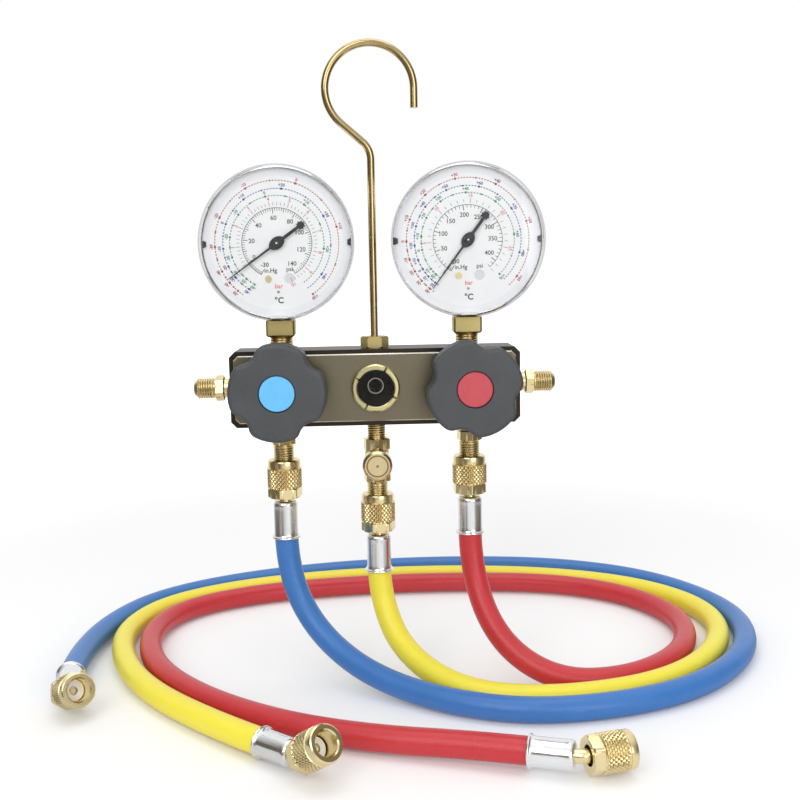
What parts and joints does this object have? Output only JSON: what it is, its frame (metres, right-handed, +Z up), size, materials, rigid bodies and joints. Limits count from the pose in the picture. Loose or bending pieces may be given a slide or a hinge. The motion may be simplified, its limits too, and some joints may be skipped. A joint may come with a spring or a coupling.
{
  "type": "refrigerant manifold gauge set",
  "caption": "Two-valve refrigerant service manifold in brass with dial gauges, sight glass, hanging hook, side ports, capped tee and colour-coded charging hoses",
  "frame": {"origin": "inside top of the hanging hook, where the set hangs", "axes": "+X to the high-pressure side, the user's right when facing the dials; +Y to the back; +Z up; knobs and dials face -Y"},
  "size_m": [0.3974, 0.3243, 0.338],
  "materials": {
    "block_bronze": "bronze anodised, satin",
    "bright_brass": "turned and bright",
    "rod_steel": "bright zinc plate",
    "zinc_plate": "bright zinc plate",
    "case_steel": "bright plated",
    "dial_white": "satin white",
    "pointer_black": "satin black",
    "clear_window": "clear moulded",
    "sight_window": "polished",
    "knob_black": "satin black moulded",
    "cap_blue": "fine-grained",
    "cap_red": "fine-grained",
    "hose_blue": "smooth, low sheen",
    "hose_yellow": "smooth, low sheen",
    "hose_red": "smooth, low sheen",
    "seal_black": "matt",
    "seal_white": "smooth"
  },
  "bodies": {
    "manifold": {"manifold_body": "block_bronze", "end_ports": "bright_brass", "hose_ports": "bright_brass", "service_tee": "bright_brass", "hook_rod": "rod_steel", "hook_nut": "rod_steel", "sight_ring": "bright_brass", "sight_glass": "sight_window", "sight_seal": "seal_black", "packing_rings": "seal_white", "dial_screws": "bright_brass", "bourdon_tubes": "bright_brass", "movement_frames": "bright_brass", "low_valve_bonnet": "bright_brass", "low_gauge_socket": "bright_brass", "low_gauge_case": "case_steel", "low_gauge_lens": "clear_window", "low_gauge_dial": "dial_white", "high_valve_bonnet": "bright_brass", "high_gauge_socket": "bright_brass", "high_gauge_case": "case_steel", "high_gauge_lens": "clear_window", "high_gauge_dial": "dial_white", "port_tails": "bright_brass", "port_ferrules": "zinc_plate", "port_gaskets": "seal_white", "free_gaskets": "seal_white", "blue_hose": "hose_blue", "blue_free_ferrule": "zinc_plate", "blue_free_tail": "bright_brass", "yellow_hose": "hose_yellow", "yellow_free_ferrule": "zinc_plate", "yellow_free_tail": "bright_brass", "red_hose": "hose_red", "red_free_ferrule": "zinc_plate", "red_free_tail": "bright_brass"},
    "low_seat": {"low_seat_disc": "seal_white"},
    "low_handwheel": {"low_spindle": "bright_brass", "low_knob": "knob_black", "low_knob_cap": "cap_blue"},
    "low_sector_gear": {"low_sector": "bright_brass"},
    "low_pointer_arbor": {"low_pointer": "pointer_black", "low_pinion": "bright_brass"},
    "low_link": {"low_gauge_link": "bright_brass"},
    "high_seat": {"high_seat_disc": "seal_white"},
    "high_handwheel": {"high_spindle": "bright_brass", "high_knob": "knob_black", "high_knob_cap": "cap_red"},
    "high_sector_gear": {"high_sector": "bright_brass"},
    "high_pointer_arbor": {"high_pointer": "pointer_black", "high_pinion": "bright_brass"},
    "high_link": {"high_gauge_link": "bright_brass"},
    "cap_lift": {"cap_seal": "seal_black"},
    "test_cap": {"service_cap": "bright_brass"},
    "blue_coupling": {"blue_port_nut": "bright_brass"},
    "yellow_coupling": {"yellow_port_nut": "bright_brass"},
    "red_coupling": {"red_port_nut": "bright_brass"},
    "blue_end_nut": {"blue_free_nut": "bright_brass"},
    "yellow_end_nut": {"yellow_free_nut": "bright_brass"},
    "red_end_nut": {"red_free_nut": "bright_brass"}
  },
  "joints": [
    {"name": "low_valve_lift", "type": "slide", "parent": "manifold", "child": "low_seat", "axis": [0, -1, 0], "range_m": [0, 0.003]},
    {"name": "low_valve_turn", "type": "hinge", "parent": "low_seat", "child": "low_handwheel", "pos_m": [-0.05, -0.01, -0.175], "axis": [0, -1, 0], "range_deg": [0, 720]},
    {"name": "low_sector_turn", "type": "hinge", "parent": "manifold", "child": "low_sector_gear", "pos_m": [-0.04125, -0.0065, -0.11562], "axis": [0, 1, 0], "range_deg": [-34.49, 3.36]},
    {"name": "low_pointer_turn", "type": "hinge", "parent": "manifold", "child": "low_pointer_arbor", "pos_m": [-0.04925, -0.01, -0.0995], "axis": [0, 1, 0], "range_deg": [-26.9, 275.9]},
    {"name": "low_link_slide", "type": "slide", "parent": "manifold", "child": "low_link", "axis": [0.3875, 0, 0.9219], "range_m": [-0.00046, 0.00474], "stiffness_N_per_m": 3.2},
    {"name": "high_valve_lift", "type": "slide", "parent": "manifold", "child": "high_seat", "axis": [0, -1, 0], "range_m": [0, 0.003]},
    {"name": "high_valve_turn", "type": "hinge", "parent": "high_seat", "child": "high_handwheel", "pos_m": [0.05, -0.01, -0.175], "axis": [0, -1, 0], "range_deg": [0, 720]},
    {"name": "high_sector_turn", "type": "hinge", "parent": "manifold", "child": "high_sector_gear", "pos_m": [0.05725, -0.0065, -0.11562], "axis": [0, 1, 0], "range_deg": [-35.59, 1.01]},
    {"name": "high_pointer_turn", "type": "hinge", "parent": "manifold", "child": "high_pointer_arbor", "pos_m": [0.04925, -0.01, -0.0995], "axis": [0, 1, 0], "range_deg": [-8.1, 284.7]},
    {"name": "high_link_slide", "type": "slide", "parent": "manifold", "child": "high_link", "axis": [0.3875, 0, 0.9219], "range_m": [-0.00013, 0.00489], "stiffness_N_per_m": 3.2},
    {"name": "cap_lift_slide", "type": "slide", "parent": "manifold", "child": "cap_lift", "axis": [0, -1, 0], "range_m": [0, 0.00635]},
    {"name": "cap_turn", "type": "hinge", "parent": "cap_lift", "child": "test_cap", "pos_m": [0, -0.016, -0.21555], "axis": [0, -1, 0], "range_deg": [0, 1800]},
    {"name": "blue_coupling_turn", "type": "hinge", "parent": "manifold", "child": "blue_coupling", "pos_m": [-0.05, 0, -0.2242], "axis": [0, 0, -1], "range_deg": [0, 360]},
    {"name": "yellow_coupling_turn", "type": "hinge", "parent": "manifold", "child": "yellow_coupling", "pos_m": [0, 0, -0.2439], "axis": [0, 0, -1], "range_deg": [0, 360]},
    {"name": "red_coupling_turn", "type": "hinge", "parent": "manifold", "child": "red_coupling", "pos_m": [0.05, 0, -0.2242], "axis": [0, 0, -1], "range_deg": [0, 360]},
    {"name": "blue_end_nut_turn", "type": "hinge", "parent": "manifold", "child": "blue_end_nut", "pos_m": [-0.15572, -0.0483, -0.32103], "axis": [0.5289, -0.7752, 0.3453], "continuous": true},
    {"name": "yellow_end_nut_turn", "type": "hinge", "parent": "manifold", "child": "yellow_end_nut", "pos_m": [-0.03079, -0.12648, -0.31863], "axis": [0.5645, -0.6268, 0.537], "continuous": true},
    {"name": "red_end_nut_turn", "type": "hinge", "parent": "manifold", "child": "red_end_nut", "pos_m": [0.09769, -0.1277, -0.3241], "axis": [0.9782, 0.2066, 0.0193], "continuous": true}
  ],
  "couplings": [
    {"joint": "low_valve_turn", "follows": "low_valve_lift", "rad_per_m": 4188.8},
    {"joint": "low_sector_turn", "follows": "low_link_slide", "rad_per_m": -126.9},
    {"joint": "low_pointer_turn", "follows": "low_link_slide", "rad_per_m": 1015.2},
    {"joint": "high_valve_turn", "follows": "high_valve_lift", "rad_per_m": 4188.8},
    {"joint": "high_sector_turn", "follows": "high_link_slide", "rad_per_m": -126.9},
    {"joint": "high_pointer_turn", "follows": "high_link_slide", "rad_per_m": 1015.2},
    {"joint": "cap_turn", "follows": "cap_lift_slide", "rad_per_m": 4947.4}
  ]
}
